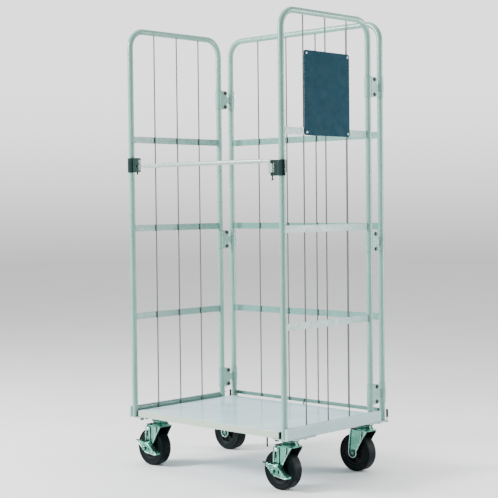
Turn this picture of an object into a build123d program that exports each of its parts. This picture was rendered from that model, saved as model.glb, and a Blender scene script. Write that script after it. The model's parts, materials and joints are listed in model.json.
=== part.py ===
"""A roll cage container: two wheeled side frames hinged to a back frame, with a deck that
flips up, a front bar, four swivel casters and a sign plate.

Millimetres. X runs left to right, Y from the open front to the back, Z up from the floor.
The origin is on the floor, below the middle of the whole object.
"""

from build123d import *
import math
import os

os.makedirs("parts", exist_ok=True)

# ---------------------------------------------------------------- driving dimensions
HEIGHT = 1700  # floor to the top of the cage
POST_SPACING = 779  # left to right, between post centres
SIDE_DEPTH = 481  # front post to rear post of a side frame
BACK_GAP = 72  # rear post of a side frame to the back frame
TUBE_R = 11
TUBE_WALL = 1.6
BEND_R = 65  # of the tube's centre line
WHEEL_R = 72
WHEEL_WIDTH = 46
TYRE_SHOULDER = 4
TRAIL = 35  # wheel axle behind the swivel axis, all four turned to the left

MID_X = 12  # middle of the cage, so that the wheels stand evenly about the origin
FRONT_Y = -277  # front posts

# ---------------------------------------------------------------- places worked out from them
LEFT, RIGHT = -1, 1
STANDING = (Align.CENTER, Align.CENTER, Align.MIN)
HANGING = (Align.CENTER, Align.CENTER, Align.MAX)
REAR_Y = FRONT_Y + SIDE_DEPTH
BACK_Y = REAR_Y + BACK_GAP
TOP_Z = HEIGHT - TUBE_R
SIDE_NAMES = {LEFT: "left", RIGHT: "right"}

# flat rails and wires that fill the three frames
RAIL_HEIGHTS = (1271, 929, 588)
RAIL_DEPTH = 25
RAIL_T = 3
LOW_BAR_DEPTH = 14
SIDE_LOW_BAR_Z = 228
BACK_LOW_BAR_Z = 234
WIRE_R = 2.5
SIDE_WIRE_PITCH = SIDE_DEPTH / 4
BACK_WIRE_PITCH = 153

# base channel under each side frame
BEAM_LOW = 196
BEAM_HIGH = 238
BEAM_T = 3
BEAM_OUT = 22.5  # outer face beyond the post centres
BEAM_FLANGE = 70
BEAM_TOP_LIP = 10.5
BEAM_CORNER = 5
BEAM_AHEAD = TUBE_R  # ends flush with the front of the front post
BEAM_BEHIND = 36
PAD_T = 4
PAD_LOW = BEAM_LOW - PAD_T

# casters
CASTER_X = 339  # swivel axes, from the middle of the cage
CASTER_FRONT = 85  # from the front posts
CASTER_REAR = 510
CASTER_PLATE = (100, 84, 4)
CASTER_BOLTS = (80, 68)
CASTER_BOLT_R = 4
PLATE_LOW = PAD_LOW - CASTER_PLATE[2]
RACE_R = 31
RACE_LOW = 176
RACE_GAP = 0.5
CROWN_HIGH = 160
FORK_T = 3
FORK_INSIDE = WHEEL_WIDTH / 2 + 3
AXLE_R = 5
KINGPIN_R = 6
RUNNING = 0.05  # radial clearance of a turning fit
LEG_END_R = 19.5

# hinges between the side frames and the back frame
HINGE_HEIGHTS = (300, 873, 1448)
HINGE_TALL = 75
KNUCKLE_TALL = 23
STRAP_T = 2.5
TONGUE_T = 8
COLLAR_T = 2
KNUCKLE_T = 3
HINGE_GAP = 0.4
HINGE_BOLT_BACK = 32  # behind the side frame's rear post
HINGE_BOLT_UP = 28
HINGE_BOLT_R = 4

# deck
DECK_HALF = 366
DECK_FRONT = FRONT_Y - 6
DECK_REAR = FRONT_Y + 516
DECK_LOW = 199.5
DECK_HIGH = 224.5
DECK_T = 2
DECK_AXIS = (FRONT_Y + 528, 212)  # Y and Z of the deck's hinge rod
DECK_ROD_R = 5
LOCK_X = MID_X + 303
LOCK_Y = FRONT_Y + 4
LOCK_R = 3
LOCK_LOW = 163
LOCK_HIGH = DECK_LOW + 7.5
LOCK_COLLAR = 3.5  # rests on the bracket under the deck

# front bar
BAR_Z = 1167
BAR_TALL = 16
BAR_THICK = 8
PIVOT_X = MID_X + 345
CATCH_Z = 1172
CLAMP_Z = 1142
CLAMP_TALL = 55
CLAMP_R = 15.5

# sign plate on the outside of the right frame
SIGN_WIDE = 249
SIGN_TALL = 299
SIGN_T = 3
SIGN_MID = (FRONT_Y + 242.5, 1406.5)


def post_x(side):
    return MID_X + side * POST_SPACING / 2


def save(part, name):
    part.label = name
    export_step(part, f"parts/{name}.step")


# ---------------------------------------------------------------- tube frames, rails and wires
def upright(x=None, y=None):
    """A vertical plane: across the cage at a given y, or along it at a given x."""
    if x is None:
        return Plane(origin=(0, y, 0), x_dir=(1, 0, 0), z_dir=(0, -1, 0))
    return Plane(origin=(x, 0, 0), x_dir=(0, 1, 0), z_dir=(1, 0, 0))


def bent_tube(plane, first, last, foot):
    """One tube: up a post, across the top and down the other post."""
    with BuildPart() as tube:
        with BuildLine(plane) as route:
            corners = [(first, foot), (first, TOP_Z), (last, TOP_Z), (last, foot)]
            FilletPolyline(*corners, radius=BEND_R)
        with BuildSketch(Plane(origin=route.line @ 0, z_dir=route.line % 0)):
            Circle(TUBE_R)
            Circle(TUBE_R - TUBE_WALL, mode=Mode.SUBTRACT)
        sweep()
    return tube.part


def flat_rails(plane, first, last, low_bar_z):
    """Three flat rails between two posts and the shallow bar just above the deck."""
    middle = (first + last) / 2
    length = last - first - 2 * TUBE_R
    with BuildPart() as rails:
        with BuildSketch(plane):
            for height in RAIL_HEIGHTS:
                with Locations((middle, height)):
                    Rectangle(length, RAIL_DEPTH)
            with Locations((middle, low_bar_z)):
                Rectangle(length, LOW_BAR_DEPTH)
        extrude(amount=RAIL_T / 2, both=True)
    return rails.part


def wires(points, low):
    """Round wires from the low bar up to the underside of the top tube."""
    with BuildPart() as rods:
        with BuildSketch(Plane.XY.offset(low)):
            with Locations(*points):
                Circle(WIRE_R)
        extrude(amount=TOP_Z - TUBE_R - low)
    return rods.part


WIRE_OFFSET = RAIL_T / 2 + WIRE_R
BEAM_FOOT = BEAM_LOW + BEAM_T

for side, name in SIDE_NAMES.items():
    x = post_x(side)
    wire_x = x - side * WIRE_OFFSET
    wire_points = [(wire_x, FRONT_Y + n * SIDE_WIRE_PITCH) for n in (1, 2, 3)]
    wire_low = SIDE_LOW_BAR_Z - LOW_BAR_DEPTH / 2
    save(bent_tube(upright(x=x), FRONT_Y, REAR_Y, BEAM_FOOT), f"{name}_tube")
    save(flat_rails(upright(x=x), FRONT_Y, REAR_Y, SIDE_LOW_BAR_Z), f"{name}_rails")
    save(wires(wire_points, wire_low), f"{name}_wires")

BACK_FOOT = 197
back_wire_y = BACK_Y - WIRE_OFFSET
back_points = [(MID_X + n * BACK_WIRE_PITCH, back_wire_y) for n in (-1.5, -0.5, 0.5, 1.5)]
back_wire_low = BACK_LOW_BAR_Z - LOW_BAR_DEPTH / 2
back_plane = upright(y=BACK_Y)
save(bent_tube(back_plane, post_x(LEFT), post_x(RIGHT), BACK_FOOT), "back_tube")
save(flat_rails(back_plane, post_x(LEFT), post_x(RIGHT), BACK_LOW_BAR_Z), "back_rails")
save(wires(back_points, back_wire_low), "back_wires")


# ---------------------------------------------------------------- base of each side frame
def base_beam(side):
    """A pressed channel, open to the inside, that the side frame's posts stand in."""
    outer = post_x(side) + side * BEAM_OUT
    front = FRONT_Y - BEAM_AHEAD
    rear = REAR_Y + BEAM_BEHIND
    cap_reach = BEAM_OUT - TUBE_R
    section = [
        (0, BEAM_LOW),
        (BEAM_FLANGE, BEAM_LOW),
        (BEAM_FLANGE, BEAM_LOW + BEAM_T),
        (BEAM_T, BEAM_LOW + BEAM_T),
        (BEAM_T, BEAM_HIGH - BEAM_T),
        (BEAM_TOP_LIP, BEAM_HIGH - BEAM_T),
        (BEAM_TOP_LIP, BEAM_HIGH),
        (0, BEAM_HIGH),
    ]
    cap = [(0, BEAM_LOW), (cap_reach, BEAM_LOW), (cap_reach, BEAM_HIGH), (0, BEAM_HIGH)]

    def from_outer(points):
        return [(outer - side * inward, height) for inward, height in points]

    def outer_corners(sketch):
        return sketch.vertices().filter_by(lambda v: abs(v.X - outer) < BEAM_T / 2)

    with BuildPart() as beam:
        with BuildSketch(upright(y=front)) as channel:
            with BuildLine():
                Polyline(*from_outer(section), close=True)
            make_face()
            fillet(outer_corners(channel), BEAM_CORNER)
        extrude(amount=front - rear)
        with BuildSketch(upright(y=front)) as closing:
            with BuildLine():
                Polyline(*from_outer(cap), close=True)
            make_face()
            fillet(outer_corners(closing), BEAM_CORNER)
        extrude(amount=-BEAM_T)
    return beam.part


PIVOT_LOBE_R = 16
SPIGOT_R = 7
SPIGOT_TALL = 26
STOP_OUT = 22.5  # stop pin, from the back post's centre
STOP_R = 2.5
STOP_TALL = 44
SLEEVE_R = 4
SLEEVE_TALL = 30
PAD_INNER = 283  # inner edge of the caster pads, from the middle of the cage
FRONT_PAD = (27, 143)
REAR_PAD = (452, 541)


def caster_points(side):
    middles = [(MID_X + side * CASTER_X, FRONT_Y + y) for y in (CASTER_FRONT, CASTER_REAR)]
    along, across = CASTER_BOLTS
    signs = [(-1, -1), (-1, 1), (1, -1), (1, 1)]
    return [(x + a * along / 2, y + b * across / 2) for x, y in middles for a, b in signs]


def back_pivot(side):
    return (post_x(side), BACK_Y)


def stop_point(side):
    return (post_x(side) + side * STOP_OUT, BACK_Y)


def pad_plates(side):
    """Plates under the beam that the casters bolt to. The rear one reaches under the back post."""
    outer = side * (POST_SPACING / 2 + BEAM_OUT - 1)
    middle_x = MID_X + (side * PAD_INNER + outer) / 2
    wide = abs(outer - side * PAD_INNER)
    pivot = back_pivot(side)
    stop = stop_point(side)
    with BuildPart() as plates:
        with BuildSketch(Plane.XY.offset(PAD_LOW)):
            for first, last in (FRONT_PAD, REAR_PAD):
                with Locations((middle_x, FRONT_Y + (first + last) / 2)):
                    Rectangle(wide, last - first)
            with Locations(pivot):
                Circle(PIVOT_LOBE_R)
            with Locations(stop):
                Circle(SLEEVE_R + 2)
            with Locations(((pivot[0] + stop[0]) / 2, BACK_Y - 2)):
                Rectangle(STOP_OUT, 14)
            with Locations(*caster_points(side)):
                Circle(CASTER_BOLT_R, mode=Mode.SUBTRACT)
        extrude(amount=PAD_T)
    return plates.part


def pad_pin(point, radius, tall):
    """A turned pin that stands on the pad, as a piece of its own."""
    with BuildPart() as pin:
        with BuildSketch(Plane.XY.offset(BEAM_LOW)):
            with Locations(point):
                Circle(radius)
        extrude(amount=tall)
    return pin.part


def caster_pads(side):
    """The plates, with the spigot that carries the back post and the stop pin beside it."""
    spigot = pad_pin(back_pivot(side), SPIGOT_R, SPIGOT_TALL)
    stop = pad_pin(stop_point(side), STOP_R, STOP_TALL)
    return Compound([*pad_plates(side).solids(), *spigot.solids(), *stop.solids()])


def stop_sleeve(side):
    """The rubber sleeve on the stop pin."""
    low = BEAM_LOW + STOP_TALL - SLEEVE_TALL
    with BuildPart() as sleeve:
        with BuildSketch(Plane.XY.offset(low)):
            with Locations(stop_point(side)):
                Circle(SLEEVE_R)
                Circle(STOP_R, mode=Mode.SUBTRACT)
        extrude(amount=SLEEVE_TALL)
        chamfer(sleeve.faces().sort_by(Axis.Z)[-1].outer_wire().edges(), 0.8)
    return sleeve.part


with BuildPart() as foot_bushings:
    with BuildSketch(Plane.XY.offset(BACK_FOOT)):
        with Locations((post_x(LEFT), BACK_Y), (post_x(RIGHT), BACK_Y)):
            Circle(TUBE_R - TUBE_WALL)
            Circle(SPIGOT_R + RUNNING, mode=Mode.SUBTRACT)
    extrude(amount=SPIGOT_TALL)
save(foot_bushings.part, "back_foot_bushings")


# ---------------------------------------------------------------- hinges at the rear corners
def hinge_clamps(side):
    """A strap round the rear post at each hinge, its two ears turned towards the back."""
    x = post_x(side)
    ear_end = REAR_Y + 42
    with BuildPart() as straps:
        for height in HINGE_HEIGHTS:
            with BuildSketch(Plane.XY.offset(height - HINGE_TALL / 2)) as outline:
                with Locations((x, REAR_Y)):
                    Circle(TUBE_R + STRAP_T)
                with Locations((x, (REAR_Y + ear_end) / 2)):
                    Rectangle(TONGUE_T + 2 * STRAP_T, ear_end - REAR_Y)
                throat = outline.vertices().filter_by(lambda v: v.Y < ear_end - 1)
                fillet(throat, 6)
                with Locations((x, REAR_Y)):
                    Circle(TUBE_R, mode=Mode.SUBTRACT)
                with Locations((x, (REAR_Y + ear_end) / 2)):
                    Rectangle(TONGUE_T, ear_end - REAR_Y, mode=Mode.SUBTRACT)
        extrude(amount=HINGE_TALL)
        ear_corners = straps.edges().filter_by(Axis.X).filter_by_position(
            Axis.Y, ear_end - 0.1, ear_end + 0.1
        )
        fillet(ear_corners, 8)
        with BuildSketch(upright(x=x)):
            with Locations(*bolt_centres()):
                Circle(HINGE_BOLT_R)
        extrude(amount=TUBE_R, both=True, mode=Mode.SUBTRACT)
    return straps.part


def bolt_centres():
    return [
        (REAR_Y + HINGE_BOLT_BACK, height + up)
        for height in HINGE_HEIGHTS
        for up in (-HINGE_BOLT_UP, HINGE_BOLT_UP)
    ]


def hinge_knuckles(side):
    """The tongue held between the strap's ears and the ring that turns on the back post."""
    x = post_x(side)
    tongue_start = REAR_Y + 13
    tongue_end = REAR_Y + 42
    ring_r = TUBE_R + RUNNING + KNUCKLE_T
    with BuildPart() as knuckles:
        with BuildSketch(upright(x=x)):
            for height in HINGE_HEIGHTS:
                with Locations(((tongue_start + tongue_end) / 2, height)):
                    Rectangle(tongue_end - tongue_start, HINGE_TALL - 2)
                with Locations(((tongue_start + BACK_Y) / 2, height)):
                    Rectangle(BACK_Y - tongue_start, KNUCKLE_TALL)
            with Locations(*bolt_centres()):
                Circle(HINGE_BOLT_R, mode=Mode.SUBTRACT)
        extrude(amount=TONGUE_T / 2, both=True)
        for height in HINGE_HEIGHTS:
            with BuildSketch(Plane.XY.offset(height - KNUCKLE_TALL / 2)):
                with Locations((x, BACK_Y)):
                    Circle(ring_r)
            extrude(amount=KNUCKLE_TALL)
        with BuildSketch(Plane.XY):
            with Locations((x, BACK_Y)):
                Circle(TUBE_R + RUNNING)
        extrude(amount=HEIGHT, mode=Mode.SUBTRACT)
    return knuckles.part


def hinge_bolts(side):
    """Dome-headed bolts through strap and tongue, with the head outside and a nut inside."""
    x = post_x(side)
    ear = TONGUE_T / 2 + STRAP_T
    head_plane = upright(x=x + side * ear)
    nut_plane = upright(x=x - side * ear)
    with BuildPart() as bolts:
        with BuildSketch(upright(x=x)):
            with Locations(*bolt_centres()):
                Circle(HINGE_BOLT_R)
        extrude(amount=ear, both=True)
        with BuildSketch(head_plane):
            with Locations(*bolt_centres()):
                Circle(7)
        extrude(amount=side * 4.5)
        head_top = x + side * (ear + 4.5)
        rims = bolts.faces().filter_by_position(Axis.X, head_top - 0.1, head_top + 0.1).edges()
        fillet(rims, 2.5)
        with BuildSketch(nut_plane):
            with Locations(*bolt_centres()):
                RegularPolygon(7, 6)
        extrude(amount=-side * 5.5)
    return bolts.part


with BuildPart() as hinge_collars:
    collar_tall = (HINGE_TALL - KNUCKLE_TALL) / 2 - HINGE_GAP
    for height in HINGE_HEIGHTS:
        for low in (
            height - KNUCKLE_TALL / 2 - HINGE_GAP - collar_tall,
            height + KNUCKLE_TALL / 2 + HINGE_GAP,
        ):
            with BuildSketch(Plane.XY.offset(low)):
                with Locations((post_x(LEFT), BACK_Y), (post_x(RIGHT), BACK_Y)):
                    Circle(TUBE_R + COLLAR_T)
                    Circle(TUBE_R, mode=Mode.SUBTRACT)
            extrude(amount=collar_tall)
save(hinge_collars.part, "back_hinge_collars")


# ---------------------------------------------------------------- deck
STIFFENER_WIDE = 44
STIFFENER_Y = (FRONT_Y + 130, FRONT_Y + 265, FRONT_Y + 400)
LUG_X = (MID_X - 370, MID_X, MID_X + 370)
KNUCKLE_X = (MID_X - 330, MID_X - 110, MID_X + 110, MID_X + 330)
DECK_KNUCKLE_LONG = 60
LUG_T = 4
LUG_R = 8

with BuildPart() as deck_tray:
    with BuildSketch(Plane.XY.offset(DECK_LOW)):
        with Locations((MID_X, (DECK_FRONT + DECK_REAR) / 2)):
            Rectangle(2 * DECK_HALF, DECK_REAR - DECK_FRONT)
    extrude(amount=DECK_HIGH - DECK_LOW)
    fillet(deck_tray.edges().filter_by(Axis.Z), 3)
    fillet(deck_tray.faces().sort_by(Axis.Z)[-1].edges(), 2.5)
    with BuildSketch(Plane.XY.offset(DECK_LOW)):
        with Locations((MID_X, (DECK_FRONT + DECK_REAR) / 2)):
            Rectangle(2 * (DECK_HALF - DECK_T), DECK_REAR - DECK_FRONT - 2 * DECK_T)
    extrude(amount=DECK_HIGH - DECK_LOW - DECK_T, mode=Mode.SUBTRACT)
save(deck_tray.part, "deck_tray")

with BuildPart() as deck_stiffeners:
    stiffener_high = DECK_HIGH - DECK_T
    stiffener_long = 2 * (DECK_HALF - DECK_T) - 2
    for y in STIFFENER_Y:
        with BuildSketch(upright(x=MID_X - stiffener_long / 2)):
            with Locations((y, stiffener_high - 10)):
                Rectangle(STIFFENER_WIDE, 20)
            with Locations((y, stiffener_high - 9)):
                Rectangle(STIFFENER_WIDE - 4, 18, mode=Mode.SUBTRACT)
    extrude(amount=stiffener_long)
    bracket_front = DECK_FRONT + DECK_T
    with BuildSketch(Plane.XY.offset(DECK_LOW + 1)):
        with Locations((LOCK_X, bracket_front + 9)):
            Rectangle(26, 18)
        with Locations((LOCK_X, LOCK_Y)):
            Circle(LOCK_R + RUNNING, mode=Mode.SUBTRACT)
    extrude(amount=3)
save(deck_stiffeners.part, "deck_stiffeners")

with BuildPart() as lock_pin:
    with Locations((LOCK_X, LOCK_Y, LOCK_LOW)):
        Cylinder(LOCK_R, LOCK_HIGH - LOCK_LOW, align=STANDING)
    with Locations((LOCK_X, LOCK_Y, LOCK_HIGH - LOCK_COLLAR)):
        Cylinder(LOCK_R + 2.5, LOCK_COLLAR, align=STANDING)
    chamfer(lock_pin.edges().sort_by(Axis.Z)[0], 0.8)
save(lock_pin.part, "deck_lock_pin")

with BuildPart() as deck_knuckles:
    web_start = DECK_REAR
    for x in KNUCKLE_X:
        with BuildSketch(upright(x=x - DECK_KNUCKLE_LONG / 2)):
            with Locations(((web_start + DECK_AXIS[0]) / 2, DECK_AXIS[1])):
                Rectangle(DECK_AXIS[0] - web_start, LUG_R)
            with Locations(DECK_AXIS):
                Circle(LUG_R)
                Circle(DECK_ROD_R + RUNNING, mode=Mode.SUBTRACT)
    extrude(amount=DECK_KNUCKLE_LONG)
save(deck_knuckles.part, "deck_knuckles")

with BuildPart() as hinge_rod:
    rod_half = LUG_X[2] - MID_X + 4
    with BuildSketch(upright(x=MID_X)):
        with Locations(DECK_AXIS):
            Circle(DECK_ROD_R)
    extrude(amount=rod_half, both=True)
    chamfer(hinge_rod.edges(), 0.8)
save(hinge_rod.part, "deck_hinge_rod")

with BuildPart() as hinge_lugs:
    bar_front = BACK_Y - RAIL_T / 2
    lug_high = BACK_LOW_BAR_Z + LOW_BAR_DEPTH / 2
    foot_low = DECK_AXIS[1] - 6
    foot_high = DECK_AXIS[1] + 6
    leg_wide = 6
    for x in LUG_X:
        with BuildSketch(upright(x=x - LUG_T / 2)):
            with Locations(((DECK_AXIS[0] + bar_front) / 2, (foot_low + foot_high) / 2)):
                Rectangle(bar_front - DECK_AXIS[0], foot_high - foot_low)
            with Locations((bar_front - leg_wide / 2, (foot_low + lug_high) / 2)):
                Rectangle(leg_wide, lug_high - foot_low)
            with Locations(DECK_AXIS):
                Circle(LUG_R)
                Circle(DECK_ROD_R, mode=Mode.SUBTRACT)
    extrude(amount=LUG_T)
save(hinge_lugs.part, "deck_hinge_lugs")


# ---------------------------------------------------------------- front bar and its two clamps
def across(x):
    """The plane that cuts the front bar square at x: its local axes run along Y and Z."""
    return Plane(origin=(x, FRONT_Y, BAR_Z), x_dir=(0, 1, 0), z_dir=(1, 0, 0))


NOSE_R = 2.5
TIP_X = MID_X - 330
TAPER_X = MID_X - 296
NOSE_X = MID_X - 352
NECK_X = MID_X + 289
BAR_END_X = PIVOT_X - 8.5
LUG_TALL = 11.5
SLOT_LOW = CLAMP_Z - CLAMP_TALL / 2 + LUG_TALL
SLOT_HIGH = CLAMP_Z + CLAMP_TALL / 2 - LUG_TALL
PIN_R = 2.5
LEAF_T = 5
GROOVE_PLAY = 1.2  # the nose widens into the bar before it leaves the groove

with BuildPart() as front_bar:
    with BuildSketch(across(TAPER_X)):
        Ellipse(BAR_THICK / 2, BAR_TALL / 2)
    extrude(amount=NECK_X - TAPER_X)
    with BuildSketch(across(TAPER_X)):
        Ellipse(BAR_THICK / 2, BAR_TALL / 2)
    with BuildSketch(across(TIP_X)):
        Circle(NOSE_R)
    loft()
    with BuildSketch(across(NOSE_X)):
        Circle(NOSE_R)
    extrude(amount=TIP_X - NOSE_X)
    with BuildSketch(across(NECK_X)):
        Ellipse(BAR_THICK / 2, BAR_TALL / 2)
    with BuildSketch(across(NECK_X + 12)):
        Ellipse(3, 5)
    loft()
    with BuildSketch(across(NECK_X + 12)):
        Ellipse(3, 5)
    extrude(amount=BAR_END_X - 6 - NECK_X - 12)
    with BuildSketch(upright(y=FRONT_Y)) as leaf:
        leaf_low = SLOT_LOW - 4
        with Locations((BAR_END_X - 5, (leaf_low + BAR_Z + 5) / 2)):
            Rectangle(10, BAR_Z + 5 - leaf_low)
        fillet(leaf.vertices(), 4)
        with Locations(((BAR_END_X + PIVOT_X) / 2 - 2, CLAMP_Z)):
            Rectangle(PIVOT_X - BAR_END_X, SLOT_HIGH - SLOT_LOW - 2)
    extrude(amount=LEAF_T / 2, both=True)
    with BuildSketch(Plane.XY.offset(SLOT_LOW + 1)):
        with Locations((PIVOT_X, FRONT_Y)):
            Circle(5.5)
    extrude(amount=SLOT_HIGH - SLOT_LOW - 2)
    with Locations((PIVOT_X, FRONT_Y, CLAMP_Z)):
        Cylinder(PIN_R + RUNNING, CLAMP_TALL, mode=Mode.SUBTRACT)
save(front_bar.part, "front_bar")

with BuildPart() as pivot_pin:
    pin_low = CLAMP_Z - CLAMP_TALL / 2 - 12
    pin_high = CLAMP_Z + CLAMP_TALL / 2 + 1.5
    with BuildSketch(Plane.XY.offset(pin_low)):
        with Locations((PIVOT_X, FRONT_Y)):
            Circle(PIN_R)
    extrude(amount=pin_high - pin_low)
    with BuildSketch(Plane.XY.offset(pin_low - 3)):
        with Locations((PIVOT_X, FRONT_Y)):
            Circle(PIN_R + 2)
    extrude(amount=3)
save(pivot_pin.part, "bar_pivot_pin")

with BuildPart() as bar_clamp:
    clamp_x = post_x(RIGHT)
    clamp_low = CLAMP_Z - CLAMP_TALL / 2
    ear_half = 5
    boss_r = 7
    with BuildSketch(Plane.XY.offset(clamp_low)):
        with Locations((clamp_x, FRONT_Y)):
            Circle(CLAMP_R)
        with Locations(((PIVOT_X + clamp_x) / 2, FRONT_Y)):
            Rectangle(clamp_x - PIVOT_X, 2 * ear_half)
        with Locations((PIVOT_X, FRONT_Y)):
            Circle(boss_r)
    extrude(amount=CLAMP_TALL)
    fillet(bar_clamp.edges().filter_by(GeomType.CIRCLE).group_by(Axis.Z)[-1], 1.2)
    slot_end = PIVOT_X + 12
    with BuildSketch(upright(y=FRONT_Y)) as slot:
        with Locations(((PIVOT_X - boss_r - 2 + slot_end) / 2, CLAMP_Z)):
            Rectangle(slot_end - PIVOT_X + boss_r + 2, SLOT_HIGH - SLOT_LOW)
        fillet(slot.vertices(), 2)
    extrude(amount=CLAMP_R + 1, both=True, mode=Mode.SUBTRACT)
    with Locations((clamp_x, FRONT_Y, CLAMP_Z)):
        Cylinder(TUBE_R, CLAMP_TALL, mode=Mode.SUBTRACT)
    with Locations((PIVOT_X, FRONT_Y, CLAMP_Z)):
        Cylinder(PIN_R, CLAMP_TALL, mode=Mode.SUBTRACT)
    with BuildSketch(Plane.XY.offset(clamp_low)):
        with Locations((clamp_x + CLAMP_R + 1, FRONT_Y)):
            Rectangle(5, 8)
    extrude(amount=11)
save(bar_clamp.part, "right_bar_clamp")

with BuildPart() as bar_catch:
    catch_x = post_x(LEFT)
    catch_low = CATCH_Z - CLAMP_TALL / 2
    catch_end = MID_X - 343
    catch_half = 7
    groove_half = NOSE_R + GROOVE_PLAY
    groove_start = NOSE_X - 4
    with BuildSketch(upright(y=FRONT_Y)) as ear:
        with Locations(((catch_x + catch_end) / 2, CATCH_Z)):
            Rectangle(catch_end - catch_x, CLAMP_TALL)
        fillet(ear.vertices().sort_by(Axis.X)[-2:], 9)
    extrude(amount=catch_half, both=True)
    with BuildSketch(Plane.XY.offset(catch_low)):
        with Locations((catch_x, FRONT_Y)):
            Circle(CLAMP_R)
    extrude(amount=CLAMP_TALL)
    fillet(bar_catch.edges().filter_by(GeomType.CIRCLE).group_by(Axis.Z)[-1], 1.2)
    with BuildSketch(upright(y=FRONT_Y - catch_half)):
        with Locations(((groove_start + catch_end) / 2, BAR_Z)):
            Rectangle(catch_end - groove_start, 2 * groove_half)
    extrude(amount=-(catch_half + groove_half), mode=Mode.SUBTRACT)
    with Locations((catch_x, FRONT_Y, CATCH_Z)):
        Cylinder(TUBE_R, CLAMP_TALL, mode=Mode.SUBTRACT)


def halves(shape, plane):
    """The solids of a shape on each side of a plane."""
    return [split(shape, bisect_by=plane, keep=keep).solids() for keep in (Keep.TOP, Keep.BOTTOM)]


# ring, back wall and two jaws, which meet face to face round the groove
catch_tip, catch_ring = halves(bar_catch.part, Plane.YZ.offset(groove_start))
catch_jaws, catch_wall = halves(
    Compound(catch_tip), Plane(origin=(0, FRONT_Y + groove_half, 0), z_dir=(0, -1, 0))
)
save(Compound([*catch_ring, *catch_wall, *catch_jaws]), "left_bar_catch")

# ---------------------------------------------------------------- sign plate
SIGN_IN = post_x(RIGHT) + RAIL_T / 2  # its inner face lies on the upper rail
SIGN_HOLE_IN = 11
hole_y = SIGN_WIDE / 2 - SIGN_HOLE_IN
hole_z = SIGN_TALL / 2 - SIGN_HOLE_IN
SIGN_HOLES = [
    (SIGN_MID[0] + a * hole_y, SIGN_MID[1] + b * hole_z) for a in (-1, 1) for b in (-1, 1)
]
RIVET_R = 2

with BuildPart() as sign_plate:
    with BuildSketch(upright(x=SIGN_IN)):
        with Locations(SIGN_MID):
            RectangleRounded(SIGN_WIDE, SIGN_TALL, 9)
        with Locations(*SIGN_HOLES):
            Circle(RIVET_R, mode=Mode.SUBTRACT)
    extrude(amount=SIGN_T)
    chamfer(sign_plate.faces().sort_by(Axis.X)[-1].outer_wire().edges(), 0.5)
save(sign_plate.part, "sign_plate")

with BuildPart() as sign_rivets:
    with BuildSketch(upright(x=SIGN_IN)):
        with Locations(*SIGN_HOLES):
            Circle(RIVET_R)
    extrude(amount=SIGN_T)
    with BuildSketch(upright(x=SIGN_IN + SIGN_T)):
        with Locations(*SIGN_HOLES):
            Circle(RIVET_R + 2.5)
    extrude(amount=2)
    fillet(sign_rivets.faces().sort_by(Axis.X)[-4:].edges(), 1.4)
save(sign_rivets.part, "sign_rivets")

with BuildPart() as sign_clips:
    for y, z in SIGN_HOLES:
        if z > SIGN_MID[1]:
            toward_wire = math.copysign(4.5, y - SIGN_MID[0])
            with Locations((SIGN_IN - RAIL_T / 2, y + toward_wire, z)):
                Box(RAIL_T, 13, 14)
save(sign_clips.part, "sign_clips")


# ---------------------------------------------------------------- casters
NUT_R = 10
NUT_TALL = 6
KINGPIN_LOW = CROWN_HIGH - FORK_T - NUT_TALL - 1.5
LEG_TOP = (-46, 31)  # the leg's width at the crown, from the swivel axis
CROWN_X = (-49, 33)
CORE_R = 44
HUB_R = 14
BRAKE_CASTERS = ("front_left", "front_right")
FORK_OUTSIDE = FORK_INSIDE + FORK_T
PEDAL_IN = FORK_OUTSIDE + 5.5  # inner face of the brake pedal, from the caster's middle plane
PEDAL_WIDE = 20
PEDAL_T = 2.5
STRAP_LOW = 77
STRAP_HIGH = 155
STRAP_WIDE = 28
STRAP_OFF = 5  # to the left of the axle
STRAP_STEEL = 3
PEDAL_HUB_R = 10
AXLE_HEAD = 6


def caster_plate(x, y):
    """Top plate, upper ball race and riveted kingpin: the half that stays with the cage."""
    wide, deep, thick = CASTER_PLATE
    along, across_plate = CASTER_BOLTS
    with BuildPart() as plate:
        with BuildSketch(Plane.XY.offset(PLATE_LOW)):
            with Locations((x, y)):
                RectangleRounded(wide, deep, 9)
                with GridLocations(along, across_plate, 2, 2):
                    Circle(CASTER_BOLT_R + 0.5, mode=Mode.SUBTRACT)
        extrude(amount=thick)
        with Locations((x, y, PLATE_LOW)):
            Cone(RACE_R - 3, RACE_R, PLATE_LOW - RACE_LOW, align=HANGING)
        with BuildSketch(Plane.XY.offset(RACE_LOW)):
            with Locations((x, y)):
                Circle(KINGPIN_R)
        extrude(amount=KINGPIN_LOW - RACE_LOW)
        with BuildSketch(Plane.XY.offset(KINGPIN_LOW + 1)):
            with Locations((x, y)):
                RegularPolygon(NUT_R, 6)
        extrude(amount=NUT_TALL)
    return plate.part


def caster_bolts(side):
    """Hexagon bolts, driven up through the caster plates into the pads."""
    points = caster_points(side)
    with BuildPart() as bolts:
        with BuildSketch(Plane.XY.offset(PLATE_LOW)):
            with Locations(*points):
                Circle(CASTER_BOLT_R)
        extrude(amount=BEAM_LOW - PLATE_LOW)
        with BuildSketch(Plane.XY.offset(PLATE_LOW)):
            with Locations(*points):
                RegularPolygon(7, 6)
        extrude(amount=-5.5)
        with BuildSketch(Plane.XY.offset(PLATE_LOW)):
            with Locations(*points):
                Circle(8)
        extrude(amount=-1.5)
    return bolts.part


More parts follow.
